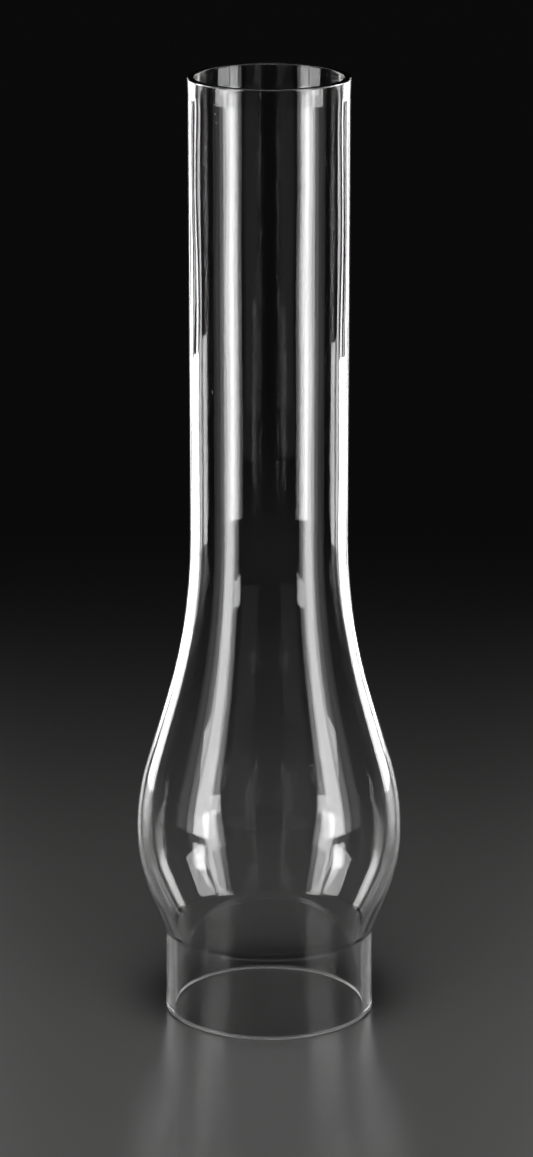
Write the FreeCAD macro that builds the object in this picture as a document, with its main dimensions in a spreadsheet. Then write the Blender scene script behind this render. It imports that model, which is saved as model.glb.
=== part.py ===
import FreeCAD, Part
import math
import os
import Sketcher
from collections import namedtuple

# Clear glass chimney for an oil lamp: one blown piece, open at both ends.
# Millimetres. The origin is the centre of the foot's rim, and +Z runs up the chimney's axis.
# From the foot up it is a straight collar that the burner's gallery grips, a shoulder crease,
# a bulb around the flame, a long sweep, and a straight tube that ends in the lip.

NODE = "chimney_glass"

# Driving dimensions. Diameters are outside ones, and walls are measured square to the axis.
# The outline is straight stretches with rounded corners. A corner's "round" is the height from
# the place where its two straight stretches would meet to where its rounding ends, measured on
# the more upright of the two. At the top of the collar the outside corner is the crease and the
# inside one is the ridge.
DIMENSIONS = {
    "overall_height": 240.0,
    "collar_diameter": 53.0,
    "collar_height": 21.2,
    "collar_wall": 2.15,
    "crease_round": 0.15,
    "ridge_round": 0.8,
    "bulb_diameter": 67.3,
    "bulb_height": 47.9,
    "bulb_wall": 1.4,
    "bulb_round_below": 8.8,
    "bulb_round_above": 9.4,
    "tube_diameter": 39.6,
    "tube_wall": 1.7,
    "tube_start": 124.5,
    "sweep_round": 21.7,
    "foot_rounding": 0.7,
    "lip_rounding": 0.55,
}

# An edge's rounding may take this share of its wall, so that a flat is left between two edges.
ROUNDING_SHARE = 0.42

# The names that Sketcher gives a geometry's points, and the sketch's own origin and X axis.
START, END, CENTRE = 1, 2, 3
ORIGIN = (-1, 1)
X_AXIS = -1

MATCH = 1e-4

# A line or arc of the outline. low and high name its two ends in the sketch, and low_at and
# high_at are their (radius, height).
Stretch = namedtuple("Stretch", "index low high low_at high_at")


def fill_sheet(doc):
    """Give each driving dimension a row in the sheet, with its name as the cell's alias."""
    sheet = doc.addObject("Spreadsheet::Sheet", "Dimensions")
    for row, (alias, value) in enumerate(DIMENSIONS.items(), start=1):
        sheet.set(f"A{row}", alias)
        sheet.set(f"B{row}", str(value))
        sheet.setAlias(f"B{row}", alias)
    doc.recompute()
    return sheet


def origin_plane(body, role):
    return next(feature for feature in body.Origin.OriginFeatures if feature.Role == role)


def vector(position):
    return FreeCAD.Vector(position[0], position[1], 0)


def slope(low, high):
    """The angle that the way from low to high leans away from the axis."""
    return math.atan2(high[0] - low[0], high[1] - low[1])


def along(position, angle, distance):
    return (position[0] + distance * math.sin(angle), position[1] + distance * math.cos(angle))


class Outline:
    """A half section in the (radius, height) plane, whose sizes are bound to the sheet."""

    def __init__(self, body, name):
        self.sketch = body.newObject("Sketcher::SketchObject", name)
        self.sketch.AttachmentSupport = [(origin_plane(body, "XZ_Plane"), "")]
        self.sketch.MapMode = "FlatFace"

    def line(self, low, high):
        index = self.sketch.addGeometry(Part.LineSegment(vector(low), vector(high)), False)
        return Stretch(index, (index, START), (index, END), low, high)

    def rounding(self, corner, slope_below, slope_above, reach):
        """Add the arc that rounds a corner, reaching this far along both of its sides."""
        turn = slope_above - slope_below
        radius = reach / math.tan(abs(turn) / 2)
        outward = 1 if turn > 0 else -1
        low_at = along(corner, slope_below, -reach)
        high_at = along(corner, slope_above, reach)
        centre = along(low_at, slope_below + math.pi / 2, outward * radius)
        circle = Part.Circle(vector(centre), FreeCAD.Vector(0, 0, 1), radius)
        if outward > 0:
            arc = Part.ArcOfCircle(circle, math.pi - slope_above, math.pi - slope_below)
            low, high = END, START
        else:
            arc = Part.ArcOfCircle(circle, -slope_below, -slope_above)
            low, high = START, END
        index = self.sketch.addGeometry(arc, False)
        return Stretch(index, (index, low), (index, high), low_at, high_at)

    def corner(self, position, *stretches):
        """Add a construction point where straight stretches would meet."""
        index = self.sketch.addGeometry(Part.Point(vector(position)), True)
        for stretch in stretches:
            self.rule("PointOnObject", index, START, stretch.index)
        return (index, START)

    def rule(self, kind, *places):
        self.sketch.addConstraint(Sketcher.Constraint(kind, *places))

    def smooth(self, *stretches):
        """Join stretches end to end, from the lowest up, with no corner between them."""
        for below, above in zip(stretches, stretches[1:]):
            self.rule("Tangent", *below.high, *above.low)

    def size(self, name, kind, start, end, expression):
        """Name the distance between two points and bind it to the sheet."""
        step = self.sketch.getPoint(*end) - self.sketch.getPoint(*start)
        value = step.x if kind == "DistanceX" else step.y
        index = self.sketch.addConstraint(Sketcher.Constraint(kind, *start, *end, value))
        self.sketch.renameConstraint(index, name)
        self.sketch.setExpression(f"Constraints.{name}", expression)

    def radius_of(self, name, place, expression):
        self.size(name, "DistanceX", ORIGIN, place, expression)

    def height_of(self, name, place, expression):
        self.size(name, "DistanceY", ORIGIN, place, expression)


def draw_flank(outline, sheet, side, rounding, collar, bulb, tube):
    """Draw one face of the glass, from the foot to the lip.

    collar, bulb and tube are the face's radii, each as a value and as the sheet's expression
    for it. rounding names the size that rounds the corner at the top of the collar. Returns the
    lowest line and the highest line.
    """
    corner = (collar[0], sheet.collar_height)
    below = (bulb[0], sheet.bulb_height - sheet.bulb_round_below)
    above = (bulb[0], sheet.bulb_height + sheet.bulb_round_above)
    neck = (tube[0], sheet.tube_start - sheet.sweep_round)
    cone_slope = slope(corner, below)
    sweep_slope = slope(above, neck)

    shoulder = outline.rounding(corner, 0, cone_slope, getattr(sheet, rounding))
    lower_bulb = outline.rounding(below, cone_slope, 0, sheet.bulb_round_below)
    upper_bulb = outline.rounding(above, 0, sweep_slope, sheet.bulb_round_above)
    sweep = outline.rounding(neck, sweep_slope, 0, sheet.sweep_round)
    lowest = outline.line((collar[0], 0), shoulder.low_at)
    cone = outline.line(shoulder.high_at, lower_bulb.low_at)
    slant = outline.line(upper_bulb.high_at, sweep.low_at)
    highest = outline.line(sweep.high_at, (tube[0], sheet.overall_height))
    outline.smooth(lowest, shoulder, cone, lower_bulb, upper_bulb, slant, sweep, highest)
    outline.rule("Vertical", lowest.index)
    outline.rule("Horizontal", lower_bulb.index, CENTRE, *lower_bulb.high)
    outline.rule("Vertical", highest.index)

    shoulder_corner = outline.corner(corner, lowest, cone)
    below_corner = outline.corner(below, cone)
    above_corner = outline.corner(above, slant)
    neck_corner = outline.corner(neck, slant)
    outline.rule("Vertical", *below_corner, *lower_bulb.high)
    outline.rule("Vertical", *above_corner, *lower_bulb.high)
    outline.rule("Vertical", *neck_corner, *highest.low)
    rounds = {
        rounding: (shoulder.low, shoulder_corner),
        "bulb_round_below": (below_corner, lower_bulb.high),
        "bulb_round_above": (upper_bulb.low, above_corner),
        "sweep_round": (neck_corner, highest.low),
    }
    for name, (start, end) in rounds.items():
        outline.size(f"{side}_{name}", "DistanceY", start, end, f"Dimensions.{name}")
    heights = {
        "collar_height": shoulder_corner,
        "bulb_height": lower_bulb.high,
        "tube_start": highest.low,
        "overall_height": highest.high,
    }
    for name, place in heights.items():
        outline.height_of(f"{side}_{name}", place, f"Dimensions.{name}")
    outline.radius_of(f"{side}_collar_radius", lowest.low, collar[1])
    outline.radius_of(f"{side}_bulb_radius", lower_bulb.high, bulb[1])
    outline.radius_of(f"{side}_tube_radius", highest.low, tube[1])
    return lowest, highest


def half(sheet, diameter, wall=None):
    """A face's radius as a value and as the sheet's expression, outside or inside a wall."""
    value = getattr(sheet, diameter) / 2
    expression = f"Dimensions.{diameter} / 2"
    if wall:
        return value - getattr(sheet, wall), f"{expression} - Dimensions.{wall}"
    return value, expression


def draw_section(body, sheet):
    """Draw the glass's closed half section and return its sketch."""
    outline = Outline(body, "half_section")
    outer_collar, outer_tube = draw_flank(
        outline, sheet, "outer", "crease_round",
        half(sheet, "collar_diameter"),
        half(sheet, "bulb_diameter"),
        half(sheet, "tube_diameter"),
    )
    inner_collar, inner_tube = draw_flank(
        outline, sheet, "inner", "ridge_round",
        half(sheet, "collar_diameter", "collar_wall"),
        half(sheet, "bulb_diameter", "bulb_wall"),
        half(sheet, "tube_diameter", "tube_wall"),
    )
    foot = outline.line(inner_collar.low_at, outer_collar.low_at)
    lip = outline.line(inner_tube.high_at, outer_tube.high_at)
    outline.rule("Coincident", *foot.low, *inner_collar.low)
    outline.rule("Coincident", *foot.high, *outer_collar.low)
    outline.rule("Coincident", *lip.low, *inner_tube.high)
    outline.rule("Coincident", *lip.high, *outer_tube.high)
    outline.rule("PointOnObject", *foot.low, X_AXIS)
    outline.rule("PointOnObject", *foot.high, X_AXIS)
    return outline.sketch


def circle_edges(shape, rings):
    """Name the circular edges of the shape that lie on the given (radius, height) rings."""
    names = []
    for number, edge in enumerate(shape.Edges, start=1):
        if edge.Curve.TypeId != "Part::GeomCircle":
            continue
        ring = (edge.Curve.Radius, edge.Curve.Center.z)
        if any(math.dist(ring, wanted) < MATCH for wanted in rings):
            names.append(f"Edge{number}")
    if len(names) != len(rings):
        raise RuntimeError(f"found {len(names)} of {len(rings)} edges to round")
    return names


def round_rim(body, name, base, outer_radius, wall, height, rounding):
    """Fire-polish a rim: round its outer and inner edge. wall and rounding are sheet names."""
    body.Document.recompute()
    wall_value = getattr(body.Document.Dimensions, wall)
    fillet = body.newObject("PartDesign::Fillet", name)
    rings = [(outer_radius, height), (outer_radius - wall_value, height)]
    fillet.Base = (base, circle_edges(base.Shape, rings))
    fillet.setExpression("Radius", f"min(Dimensions.{rounding}; {ROUNDING_SHARE} * Dimensions.{wall})")
    return fillet


def build_glass(doc, sheet):
    body = doc.addObject("PartDesign::Body", NODE)
    body.Label = NODE
    body.Placement = FreeCAD.Placement()

    section = draw_section(body, sheet)
    doc.recompute()
    if section.solve() != 0 or not section.FullyConstrained:
        raise RuntimeError("the half section is not fully constrained")
    glass = body.newObject("PartDesign::Revolution", "blown_glass")
    glass.Profile = section
    glass.ReferenceAxis = (section, ["V_Axis"])
    glass.Angle = 360.0

    collar = sheet.collar_diameter / 2
    tube = sheet.tube_diameter / 2
    glass = round_rim(body, "polished_foot", glass, collar, "collar_wall", 0, "foot_rounding")
    glass = round_rim(
        body, "polished_lip", glass, tube, "tube_wall", sheet.overall_height, "lip_rounding"
    )
    body.Tip = glass
    doc.recompute()
    return body


def check(doc, bodies):
    for item in doc.Objects:
        if "Invalid" in item.State or "Error" in item.State:
            raise RuntimeError(f"{item.Name} failed: {item.State}")
    for body in bodies:
        if body.Shape.isNull() or not body.Shape.isValid() or len(body.Shape.Solids) != 1:
            raise RuntimeError(f"{body.Label} is not one valid solid")


def main():
    doc = FreeCAD.newDocument("oil_lamp_chimney")
    sheet = fill_sheet(doc)
    bodies = [build_glass(doc, sheet)]
    check(doc, bodies)
    os.makedirs("parts", exist_ok=True)
    for body in bodies:
        body.Shape.exportStep(f"parts/{body.Label}.step")
        box = body.Shape.optimalBoundingBox()
        size = f"{box.XLength:.2f} x {box.YLength:.2f} x {box.ZLength:.2f} mm"
        print(f"{body.Label}: {size}, glass {body.Shape.Volume / 1000:.2f} cm3")


main()
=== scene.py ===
import math
import random

import bpy
import numpy as np
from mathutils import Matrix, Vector


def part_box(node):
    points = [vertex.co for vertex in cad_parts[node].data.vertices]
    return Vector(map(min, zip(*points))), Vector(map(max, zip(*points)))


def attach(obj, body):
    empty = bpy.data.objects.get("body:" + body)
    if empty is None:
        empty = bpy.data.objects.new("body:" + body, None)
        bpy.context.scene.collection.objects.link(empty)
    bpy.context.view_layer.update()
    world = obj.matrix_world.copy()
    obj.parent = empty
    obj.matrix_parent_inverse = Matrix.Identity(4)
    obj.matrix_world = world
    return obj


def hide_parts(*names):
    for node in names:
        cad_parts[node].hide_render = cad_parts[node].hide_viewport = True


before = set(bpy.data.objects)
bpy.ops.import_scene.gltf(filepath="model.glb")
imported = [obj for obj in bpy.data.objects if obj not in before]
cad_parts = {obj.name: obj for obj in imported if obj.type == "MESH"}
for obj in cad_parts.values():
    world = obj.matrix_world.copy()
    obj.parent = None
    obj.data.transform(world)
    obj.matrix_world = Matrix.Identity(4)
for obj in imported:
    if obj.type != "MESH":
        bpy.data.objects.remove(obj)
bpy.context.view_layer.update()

# Everything is in metres, in the CAD frame: the foot's rim is at z = 0 and +Z runs up the axis.
MM = 0.001
NODE = "chimney_glass"
lowest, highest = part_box(NODE)

# The outline. The height and the bulb's width come from the CAD piece, and the rest repeat its sizes.
HEIGHT = highest.z - lowest.z
BULB_RADIUS = (highest.x - lowest.x) / 2
BULB_HEIGHT = 47.9 * MM
BULB_WALL = 1.4 * MM
BULB_ROUND_BELOW = 8.8 * MM
BULB_ROUND_ABOVE = 9.4 * MM
COLLAR_RADIUS = 26.5 * MM
COLLAR_HEIGHT = 21.2 * MM
COLLAR_WALL = 2.15 * MM
CREASE_ROUND = 0.15 * MM
RIDGE_ROUND = 0.8 * MM
TUBE_RADIUS = 19.8 * MM
TUBE_WALL = 1.7 * MM
TUBE_START = 124.5 * MM
SWEEP_ROUND = 21.7 * MM
FOOT_ROUNDING = 0.7 * MM
LIP_ROUNDING = 0.55 * MM

# The lip is fire-polished, so it stands out as a faint bead, and the tube widens a little towards it.
BEAD_PROUD = 0.16 * MM
BEAD_REACH = 1.6 * MM
TUBE_FLARE = 0.11 * MM

# Unevenness: slow waves in both faces, and fine lines drawn down them.
GLASS_SEED = 19
OUTER_RIPPLE = 0.006 * MM
INNER_RIPPLE = 0.016 * MM
DRAW_LINE = 0.0009 * MM
OUTER_RIPPLE_LENGTH = 0.16
INNER_RIPPLE_LENGTH = 0.12
DRAW_LINE_LENGTH = 0.4
RIPPLE_TWIST = 6
RIPPLE_FADE = 8 * MM

# Seeds, which are small bubbles in the tube's wall: a short row near the lip and others anywhere.
# Their lengths and widths are the smallest and the largest, in millimetres.
LIP_SEEDS = 3
LIP_SEED_AZIMUTH = -43
LIP_SEED_DROP = 4.5 * MM
LIP_SEED_SPACING = 2.2 * MM
LIP_SEED_LENGTHS = (0.45, 0.7)
LIP_SEED_WIDTHS = (0.24, 0.32)
TUBE_SEEDS = 6
TUBE_SEED_LENGTHS = (0.5, 1.5)
TUBE_SEED_WIDTHS = (0.14, 0.28)
SEED_CLEAR_BELOW = 6 * MM
SEED_CLEAR_ABOVE = 12 * MM
SEED_TURNS = 10
SEED_ROWS = 8

GLASS_IOR = 1.5
GLASS_TINT = (0.93, 1.0, 0.97, 1)
GLASS_TINT_DENSITY = 4.0
HAZE_SCALE = 26.0
HAZE_DETAIL = 5.0
HAZE_STARTS = 0.45
HAZE_IS_FULL = 0.8
HAZE_ROUGHNESS = 0.02
GROUND_ROUGHNESS = 0.5
GROUND_HEIGHT = 1.0 * MM

SEGMENTS = 272
ARC_STEP = math.radians(2.5)
FEWEST_ARC_STEPS = 4
LONGEST_STEP = 3.0 * MM
DOUBLED_POINT = 1e-7

FLOOR_SIZE = 8
FLOOR_COLOUR = (0.72, 0.72, 0.71, 1)
FLOOR_ROUGHNESS = 0.28

# Each soft box, set up on both sides: its name, its distance from the axis in metres, its first
# and last azimuth in degrees, its lowest and highest point in metres, its radiance, and whether
# it shows only where the glass mirrors it.
SOFT_BOXES = (
    ("key", 0.40, 52, 66, 0.00, 0.18, 7.0, True),
    ("key_inner", 0.40, 46, 52, 0.00, 0.18, 1.8, True),
    ("key_outer", 0.40, 66, 73, 0.00, 0.18, 1.4, True),
    ("key_foot", 0.14, 50, 61, 0.00, 0.03, 5.0, True),
    ("key_cap", 0.40, 56, 64, 0.18, 0.25, 1.6, True),
    ("key_wing", 0.40, 64, 84, 0.18, 0.25, 7.0, True),
    ("high_wing", 0.40, 52, 86, 0.25, 0.45, 0.8, True),
    ("flank", 0.40, 74, 84, 0.00, 0.18, 0.4, True),
    ("far_wing", 1.20, 70, 94, 0.28, 0.45, 7.0, True),
    ("fill", 0.40, 16, 38, 0.05, 0.18, 0.08, True),
    ("rim", 0.40, 149, 156, 0.00, 0.18, 3.6, False),
    ("line", 0.40, 161.5, 164, 0.00, 0.18, 0.5, False),
    ("rim_low", 0.40, 126, 140, 0.00, 0.08, 5.0, False),
    ("rim_cap", 0.40, 136, 155, 0.18, 0.25, 3.0, False),
    ("rim_high", 0.40, 124, 164, 0.25, 0.32, 1.7, False),
)

OVERHEAD_HEIGHT = 0.75
OVERHEAD_SIZE = 0.9
OVERHEAD_RADIANCE = 0.35
POOL_PLACE = (0, -0.30, 0.8)
POOL_AIM = (0, -0.16, 0)
POOL_POWER = 0.11
POOL_SIZE = 0.6
POOL_SPREAD = math.radians(40)
STUDIO_COLOUR = (0.004, 0.004, 0.004, 1)

CAMERA_PITCH = math.radians(16.0)
CAMERA_PAN = math.radians(0.035)
CAMERA_DISTANCE = 1.0691
CAMERA_HEIGHT = 0.4199
CAMERA_LENS = 138.32
CAMERA_SENSOR = 36
CAMERA_CLIP = 0.05


def rounded_outline(corners):
    """Points along straight stretches whose corners are rounded.

    corners holds (radius, height, reach): the rounding starts reach before the corner and
    ends reach after it. A reach of 0 leaves the corner sharp.
    """
    points = [np.array(corners[0][:2])]
    for before, here, after in zip(corners, corners[1:], corners[2:]):
        corner = np.array(here[:2])
        reach = here[2]
        back = np.array(before[:2]) - corner
        ahead = np.array(after[:2]) - corner
        back /= np.linalg.norm(back)
        ahead /= np.linalg.norm(ahead)
        turn = math.pi - math.acos(np.clip(back @ ahead, -1, 1))
        start = corner + back * reach
        end = corner + ahead * reach
        steps = max(FEWEST_ARC_STEPS, math.ceil(turn / ARC_STEP))
        to_centre = back + ahead
        to_centre /= np.linalg.norm(to_centre)
        radius = reach / math.tan(turn / 2)
        centre = corner + to_centre * radius / math.cos(turn / 2)
        for step in range(steps + 1):
            share = step / steps
            blend = (math.sin((1 - share) * turn) * (start - centre)
                     + math.sin(share * turn) * (end - centre)) / math.sin(turn)
            points.append(centre + blend)
    points.append(np.array(corners[-1][:2]))
    return points


def spaced(points):
    """Drop doubled points and divide long steps."""
    result = [points[0]]
    for point in points[1:]:
        gap = np.linalg.norm(point - result[-1])
        if gap < DOUBLED_POINT:
            continue
        pieces = max(1, math.ceil(gap / LONGEST_STEP))
        start = result[-1]
        for piece in range(1, pieces + 1):
            result.append(start + (point - start) * piece / pieces)
    return np.array(result)


def flank(foot_corners, bulb_radius, tube_radius):
    """The corners of one face of the glass, from the foot to the straight tube."""
    return foot_corners + [
        (bulb_radius, BULB_HEIGHT - BULB_ROUND_BELOW, BULB_ROUND_BELOW),
        (bulb_radius, BULB_HEIGHT + BULB_ROUND_ABOVE, BULB_ROUND_ABOVE),
        (tube_radius, TUBE_START - SWEEP_ROUND, SWEEP_ROUND),
    ]


def glass_outline():
    """The wall's whole section: up the outside, over the lip, down the inside and along the foot."""
    bore = COLLAR_RADIUS - COLLAR_WALL
    flue = TUBE_RADIUS - TUBE_WALL
    foot_middle = (COLLAR_RADIUS - COLLAR_WALL / 2, 0, 0)
    outer_collar = [(COLLAR_RADIUS, 0, FOOT_ROUNDING), (COLLAR_RADIUS, COLLAR_HEIGHT, CREASE_ROUND)]
    inner_collar = [(bore, 0, FOOT_ROUNDING), (bore, COLLAR_HEIGHT, RIDGE_ROUND)]
    outer = flank(outer_collar, BULB_RADIUS, TUBE_RADIUS)
    inner = flank(inner_collar, BULB_RADIUS - BULB_WALL, flue)
    lip = [(TUBE_RADIUS, HEIGHT, LIP_ROUNDING), (flue, HEIGHT, LIP_ROUNDING)]
    corners = [foot_middle] + outer + lip + inner[::-1] + [foot_middle]
    return spaced(rounded_outline(corners))[:-1]


def fire_polished(outline):
    """Add the tube's slight flare and the bead that melting left round the lip."""
    shaped = outline.copy()
    top = int(np.argmax(outline[:, 1]))
    height = outline[:, 1]
    flare = np.clip((height - TUBE_START) / (HEIGHT - TUBE_START), 0, 1) * TUBE_FLARE
    bead = BEAD_PROUD * np.exp(-((HEIGHT - height) / BEAD_REACH) ** 2)
    shaped[:, 0] += flare
    shaped[:top, 0] += bead[:top]
    shaped[top:, 0] -= bead[top:] / 2
    return shaped


def ripples(rng, count, lobes, deepest, longest):
    """Random waves round and along the glass: the lobes, phase, depth, twist, rate and start of each.

    lobes holds the fewest and the most that a wave has round the glass.
    """
    waves = []
    for _ in range(count):
        wave_lobes = rng.randint(*lobes)
        phase = rng.uniform(0, 2 * math.pi)
        depth = deepest * rng.uniform(0.4, 1)
        twist = rng.uniform(-RIPPLE_TWIST, RIPPLE_TWIST)
        rate = 2 * math.pi / rng.uniform(longest / 3, longest)
        start = rng.uniform(0, 2 * math.pi)
        waves.append((wave_lobes, phase, depth, twist, rate, start))
    return waves


def rippled(waves, angle, height):
    """How far the waves move the glass at each angle and height."""
    total = np.zeros_like(angle)
    for lobes, phase, depth, twist, rate, start in waves:
        total += depth * np.cos(lobes * angle + phase + twist * height) * np.cos(rate * height + start)
    return total


def lathe(outline, segments, rng):
    """Turn the outline into a closed mesh, with the unevenness of drawn and blown glass."""
    angles = np.arange(segments) * 2 * math.pi / segments
    rings = len(outline)
    top = int(np.argmax(outline[:, 1]))
    radius = np.repeat(outline[:, 0][:, None], segments, axis=1)
    height = np.repeat(outline[:, 1][:, None], segments, axis=1)
    angle = np.repeat(angles[None, :], rings, axis=0)
    from_rims = np.minimum(height, HEIGHT - height)
    fade = np.clip(from_rims / RIPPLE_FADE, 0, 1) ** 2
    outer = ripples(rng, count=5, lobes=(2, 5), deepest=OUTER_RIPPLE, longest=OUTER_RIPPLE_LENGTH)
    outer += ripples(rng, count=6, lobes=(9, 30), deepest=DRAW_LINE, longest=DRAW_LINE_LENGTH)
    inner = ripples(rng, count=7, lobes=(2, 7), deepest=INNER_RIPPLE, longest=INNER_RIPPLE_LENGTH)
    inner += ripples(rng, count=8, lobes=(9, 34), deepest=DRAW_LINE, longest=DRAW_LINE_LENGTH)
    radius[:top] -= (fade * np.abs(rippled(outer, angle, height)))[:top]
    radius[top:] += (fade * rippled(inner, angle, height))[top:]
    verts = np.stack([radius * np.cos(angle), radius * np.sin(angle), height], axis=2).reshape(-1, 3)
    faces = []
    for ring in range(rings):
        above = (ring + 1) % rings
        for segment in range(segments):
            beside = (segment + 1) % segments
            faces.append((ring * segments + segment, ring * segments + beside,
                          above * segments + beside, above * segments + segment))
    return verts.tolist(), faces


def add_seed(verts, faces, azimuth, height, wall_centre, length, width):
    """Add a seed, drawn out along the glass, as a closed hollow in the wall."""
    first = len(verts)
    across = Vector((math.sin(azimuth), -math.cos(azimuth), 0))
    aside = Vector((math.cos(azimuth), math.sin(azimuth), 0))
    middle = across * wall_centre + Vector((0, 0, height))
    verts.append(tuple(middle - Vector((0, 0, length / 2))))
    for row in range(1, SEED_ROWS):
        tilt = math.pi * row / SEED_ROWS
        for turn in range(SEED_TURNS):
            around = 2 * math.pi * turn / SEED_TURNS
            offset = (aside * math.cos(around) + across * math.sin(around)) * math.sin(tilt) * width / 2
            verts.append(tuple(middle + offset - Vector((0, 0, math.cos(tilt) * length / 2))))
    verts.append(tuple(middle + Vector((0, 0, length / 2))))
    last = len(verts) - 1
    top_row = first + 1 + (SEED_ROWS - 2) * SEED_TURNS
    for turn in range(SEED_TURNS):
        beside = (turn + 1) % SEED_TURNS
        faces.append((first, first + 1 + turn, first + 1 + beside))
        for row in range(SEED_ROWS - 2):
            low = first + 1 + row * SEED_TURNS
            high = low + SEED_TURNS
            faces.append((low + turn, high + turn, high + beside, low + beside))
        faces.append((last, top_row + beside, top_row + turn))


def add_seeds(verts, faces, rng):
    """Scatter seeds through the tube's wall, with a short slanting row just under the lip."""
    centre = TUBE_RADIUS - TUBE_WALL / 2
    for step in range(LIP_SEEDS):
        azimuth = math.radians(LIP_SEED_AZIMUTH + step)
        height = HEIGHT - LIP_SEED_DROP - LIP_SEED_SPACING * step
        length = rng.uniform(*LIP_SEED_LENGTHS) * MM
        width = rng.uniform(*LIP_SEED_WIDTHS) * MM
        add_seed(verts, faces, azimuth, height, centre, length, width)
    for _ in range(TUBE_SEEDS):
        azimuth = rng.uniform(-math.pi, math.pi)
        height = rng.uniform(TUBE_START + SEED_CLEAR_BELOW, HEIGHT - SEED_CLEAR_ABOVE)
        length = rng.uniform(*TUBE_SEED_LENGTHS) * MM
        width = rng.uniform(*TUBE_SEED_WIDTHS) * MM
        add_seed(verts, faces, azimuth, height, centre, length, width)


def build_glass():
    rng = random.Random(GLASS_SEED)
    verts, faces = lathe(fire_polished(glass_outline()), SEGMENTS, rng)
    add_seeds(verts, faces, rng)
    mesh = bpy.data.meshes.new("glass_chimney")
    mesh.from_pydata(verts, [], faces)
    mesh.validate()
    mesh.shade_smooth()
    piece = bpy.data.objects.new("glass_chimney", mesh)
    bpy.context.scene.collection.objects.link(piece)
    mesh.materials.append(glass_material())
    return piece


def new_material(name):
    material = bpy.data.materials.new(name)
    material.use_nodes = True
    return material, material.node_tree.nodes["Principled BSDF"]


def map_range(tree, value, from_min, from_max, to_min, to_max):
    """A Map Range node fed by value, and its output."""
    node = tree.nodes.new("ShaderNodeMapRange")
    node.inputs["From Min"].default_value = from_min
    node.inputs["From Max"].default_value = from_max
    node.inputs["To Min"].default_value = to_min
    node.inputs["To Max"].default_value = to_max
    tree.links.new(value, node.inputs["Value"])
    return node.outputs["Result"]


def glass_roughness(tree):
    """The faintest handling haze in patches, and a matt ring where the foot is ground."""
    place = tree.nodes.new("ShaderNodeTexCoord")
    noise = tree.nodes.new("ShaderNodeTexNoise")
    noise.inputs["Scale"].default_value = HAZE_SCALE
    noise.inputs["Detail"].default_value = HAZE_DETAIL
    tree.links.new(place.outputs["Object"], noise.inputs["Vector"])
    haze = map_range(tree, noise.outputs["Fac"], HAZE_STARTS, HAZE_IS_FULL, 0, HAZE_ROUGHNESS)
    split = tree.nodes.new("ShaderNodeSeparateXYZ")
    tree.links.new(place.outputs["Object"], split.inputs["Vector"])
    ground = map_range(tree, split.outputs["Z"], GROUND_HEIGHT / 2, GROUND_HEIGHT, GROUND_ROUGHNESS, 0)
    rougher = tree.nodes.new("ShaderNodeMath")
    rougher.operation = "MAXIMUM"
    tree.links.new(haze, rougher.inputs[0])
    tree.links.new(ground, rougher.inputs[1])
    return rougher.outputs["Value"]


def glass_material():
    """Clear, almost colourless soda-lime glass."""
    material, shader = new_material("clear_glass")
    tree = material.node_tree
    shader.inputs["Base Color"].default_value = (1, 1, 1, 1)
    shader.inputs["Transmission Weight"].default_value = 1.0
    shader.inputs["IOR"].default_value = GLASS_IOR
    tree.links.new(glass_roughness(tree), shader.inputs["Roughness"])
    tint = tree.nodes.new("ShaderNodeVolumeAbsorption")
    tint.inputs["Color"].default_value = GLASS_TINT
    tint.inputs["Density"].default_value = GLASS_TINT_DENSITY
    tree.links.new(tint.outputs["Volume"], tree.nodes["Material Output"].inputs["Volume"])
    return material


def build_floor():
    bpy.ops.mesh.primitive_plane_add(size=FLOOR_SIZE, location=(0, 0, 0))
    floor = bpy.context.object
    floor.name = "floor"
    material, shader = new_material("floor")
    shader.inputs["Base Color"].default_value = FLOOR_COLOUR
    shader.inputs["Roughness"].default_value = FLOOR_ROUGHNESS
    floor.data.materials.append(material)


def area_light(name, place, aim, power):
    data = bpy.data.lights.new(name, "AREA")
    data.energy = power
    light = bpy.data.objects.new(name, data)
    light.location = place
    light.rotation_euler = (Vector(aim) - Vector(place)).to_track_quat("-Z", "Y").to_euler()
    light.visible_camera = False
    bpy.context.scene.collection.objects.link(light)
    return light


def compare(tree, value, operation, limit):
    """A comparison node fed by value, and its output, which is 0 or 1."""
    node = tree.nodes.new("ShaderNodeMath")
    node.operation = operation
    node.inputs[1].default_value = limit
    tree.links.new(value, node.inputs[0])
    return node.outputs[0]


def gloss_only(light, mirrored_in):
    """Let a light show only in gloss and glass, so that it doesn't brighten the floor.

    With a collection, it shows only where those pieces mirror it, and not straight through them.
    """
    fewest_mirrorings = 0
    if mirrored_in:
        light.light_linking.receiver_collection = mirrored_in
        fewest_mirrorings = 1
    light.visible_diffuse = False
    light.data.use_nodes = True
    tree = light.data.node_tree
    path = tree.nodes.new("ShaderNodeLightPath")
    before_floor = compare(tree, path.outputs["Diffuse Depth"], "LESS_THAN", 0.5)
    after_mirror = compare(tree, path.outputs["Glossy Depth"], "GREATER_THAN", fewest_mirrorings - 0.5)
    strength = tree.nodes.new("ShaderNodeMath")
    strength.operation = "MULTIPLY"
    tree.links.new(before_floor, strength.inputs[0])
    tree.links.new(after_mirror, strength.inputs[1])
    tree.links.new(strength.outputs[0], tree.nodes["Emission"].inputs["Strength"])


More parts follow.
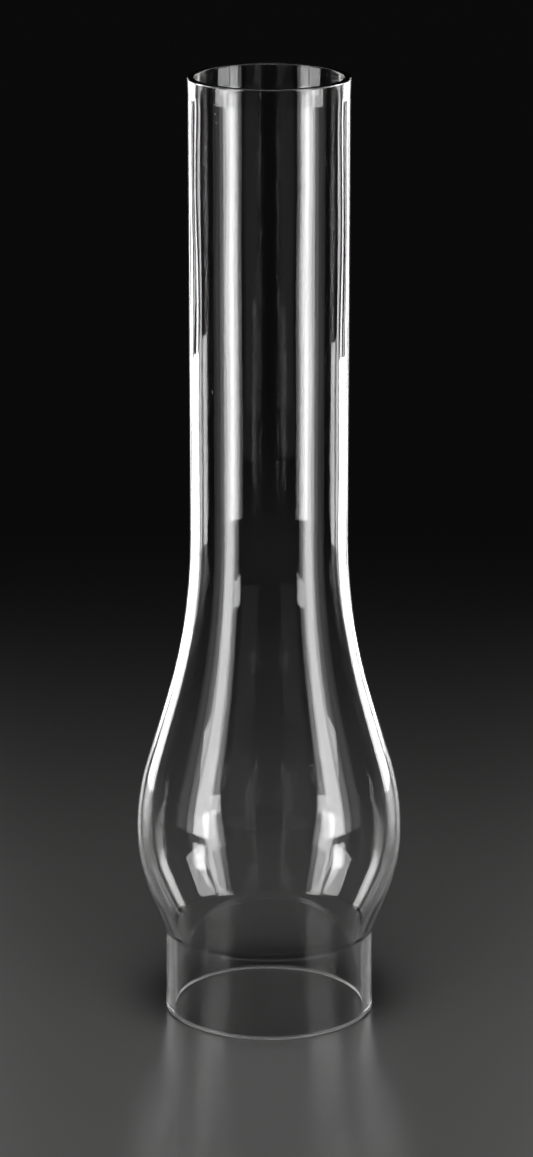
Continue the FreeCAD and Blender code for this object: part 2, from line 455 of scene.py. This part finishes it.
def soft_box(name, distance, first_azimuth, last_azimuth, low, high, radiance, mirrored_in):
    """An upright soft box facing the axis, between two azimuths in degrees and two heights.

    Azimuth 0 is towards the camera, and positive azimuths are on its right.
    """
    middle = math.radians(first_azimuth + last_azimuth) / 2
    half = math.radians(last_azimuth - first_azimuth) / 2
    height = (low + high) / 2
    place = (distance * math.sin(middle), -distance * math.cos(middle), height)
    width = 2 * distance * math.tan(half)
    light = area_light(name, place, (0, 0, height), radiance * math.pi * width * (high - low))
    light.data.shape = "RECTANGLE"
    light.data.size = width
    light.data.size_y = high - low
    gloss_only(light, mirrored_in)


def build_lights(piece):
    pieces = bpy.data.collections.new("lit_pieces")
    pieces.objects.link(piece)
    for name, distance, near, far, low, high, radiance, mirrored in SOFT_BOXES:
        mirrored_in = pieces if mirrored else None
        soft_box(f"left_{name}", distance, -far, -near, low, high, radiance, mirrored_in)
        soft_box(f"right_{name}", distance, near, far, low, high, radiance, mirrored_in)
    overhead = area_light("overhead", (0, 0, OVERHEAD_HEIGHT), (0, 0, 0),
                          OVERHEAD_RADIANCE * math.pi * OVERHEAD_SIZE * OVERHEAD_SIZE)
    overhead.data.size = OVERHEAD_SIZE
    gloss_only(overhead, pieces)
    pool = area_light("pool", POOL_PLACE, POOL_AIM, POOL_POWER)
    pool.data.size = POOL_SIZE
    pool.data.spread = POOL_SPREAD


def build_studio():
    """The near-black surroundings, and colours shown as they are."""
    world = bpy.data.worlds.new("studio")
    world.use_nodes = True
    world.node_tree.nodes["Background"].inputs["Color"].default_value = STUDIO_COLOUR
    bpy.context.scene.world = world
    bpy.context.scene.view_settings.view_transform = "Standard"


def build_camera():
    data = bpy.data.cameras.new("camera")
    data.lens = CAMERA_LENS
    data.sensor_width = CAMERA_SENSOR
    data.clip_start = CAMERA_CLIP
    camera = bpy.data.objects.new("camera", data)
    camera.location = (0, -CAMERA_DISTANCE, CAMERA_HEIGHT)
    camera.rotation_euler = (math.pi / 2 - CAMERA_PITCH, 0, CAMERA_PAN)
    bpy.context.scene.collection.objects.link(camera)
    bpy.context.scene.camera = camera


glass = build_glass()
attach(glass, "root")
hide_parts(NODE)
build_floor()
build_lights(glass)
build_studio()
build_camera()
